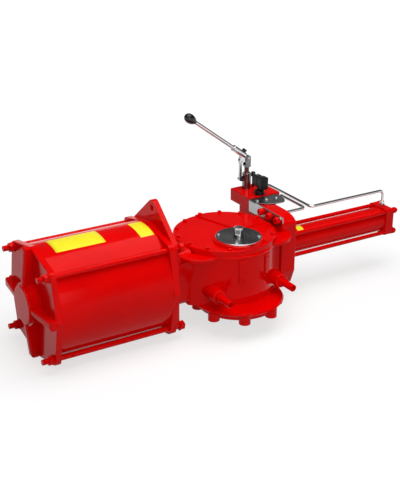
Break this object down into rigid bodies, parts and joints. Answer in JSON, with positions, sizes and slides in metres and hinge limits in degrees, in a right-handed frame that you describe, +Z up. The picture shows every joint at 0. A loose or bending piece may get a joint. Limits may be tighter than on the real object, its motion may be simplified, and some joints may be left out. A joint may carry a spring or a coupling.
{
  "type": "quarter-turn valve actuator",
  "caption": "Quarter-turn scotch-yoke valve actuator with a large air cylinder, a hydraulic override cylinder and a hand pump with a raised lever.",
  "frame": {"origin": "centre of the valve mounting face, on the yoke's axis", "axes": "+X along the cylinders towards the hydraulic override, +Y from the yoke's axis to the cylinders' axis, +Z up the yoke's axis away from the valve"},
  "size_m": [1.384, 0.518, 0.61],
  "materials": {
    "red_paint": "gloss red enamel",
    "machined_steel": "machined",
    "polished_steel": "polished",
    "stainless_sheet": "brushed",
    "cast_iron": "as cast and machined",
    "bronze": "turned",
    "rubber": "moulded",
    "black_plastic": "moulded"
  },
  "bodies": {
    "actuator": {"bracket_screws": "machined_steel", "coil_collar": "black_plastic", "coil_housing": "black_plastic", "cover_screws": "red_paint", "cylinder_tie_rods": "red_paint", "cylinder_tube": "red_paint", "guide_bar": "machined_steel", "housing_cover": "red_paint", "inner_end_flange": "red_paint", "lifting_plate": "red_paint", "lower_yoke_bush": "bronze", "manifold_block": "red_paint", "manifold_plugs": "red_paint", "mounting_bracket": "stainless_sheet", "outer_end_cap": "red_paint", "override_adapter": "red_paint", "override_end_block": "red_paint", "override_inner_head": "red_paint", "override_tie_nuts": "red_paint", "override_tie_rods": "red_paint", "override_tube": "red_paint", "pressure_tube_far": "stainless_sheet", "pressure_tube_near": "stainless_sheet", "pump_barrel": "red_paint", "pump_gland": "polished_steel", "rod_bush": "bronze", "stop_screws": "machined_steel", "stop_sleeves": "red_paint", "tie_rod_nuts": "red_paint", "top_plate": "machined_steel", "top_plate_screws": "machined_steel", "tube_fittings": "machined_steel", "tube_seals": "rubber", "upper_yoke_bush": "bronze", "yoke_housing": "red_paint"},
    "yoke": {"scotch_yoke": "cast_iron", "indicator_stub": "polished_steel"},
    "piston_set": {"piston": "cast_iron", "piston_seal": "rubber", "piston_nut": "machined_steel", "piston_rod": "polished_steel", "guide_block": "cast_iron", "drive_pin": "polished_steel", "rollers": "machined_steel", "override_rod": "polished_steel", "override_piston": "cast_iron", "override_piston_seal": "rubber"},
    "plunger": {"pump_plunger": "polished_steel", "lever_pin": "polished_steel"},
    "lever": {"lever_socket": "polished_steel", "lever_bar": "polished_steel", "lever_grip": "black_plastic", "lever_clamp": "black_plastic", "link_top_pin": "polished_steel"},
    "links": {"pump_link": "polished_steel", "link_foot_pin": "polished_steel"},
    "knob": {"selector_knob": "black_plastic"}
  },
  "joints": [
    {"name": "piston_stroke", "type": "slide", "parent": "actuator", "child": "piston_set", "axis": [1, 0, 0], "range_m": [0, 0.2165]},
    {"name": "yoke_turn", "type": "hinge", "parent": "actuator", "child": "yoke", "pos_m": [0, 0, 0.1], "axis": [0, 0, -1], "range_deg": [0, 90]},
    {"name": "plunger_slide", "type": "slide", "parent": "actuator", "child": "plunger", "axis": [0, 0, 1], "range_m": [0, 0.0129]},
    {"name": "pump_lever", "type": "hinge", "parent": "plunger", "child": "lever", "pos_m": [0.224, 0.3, 0.371], "axis": [0, -1, 0], "range_deg": [0, 35]},
    {"name": "link_swing", "type": "hinge", "parent": "actuator", "child": "links", "pos_m": [0.198, 0.3, 0.297], "axis": [0, 1, 0], "range_deg": [0, 9]},
    {"name": "knob_turn", "type": "hinge", "parent": "actuator", "child": "knob", "pos_m": [0.251, 0.3, 0.3], "axis": [0, 0, 1], "range_deg": [0, 90]}
  ],
  "couplings": [
    {"joint": "yoke_turn", "follows": "piston_stroke", "rad_per_m": 7.2554},
    {"joint": "plunger_slide", "follows": "pump_lever", "m_per_rad": 0.021},
    {"joint": "link_swing", "follows": "pump_lever", "ratio": 0.256}
  ]
}
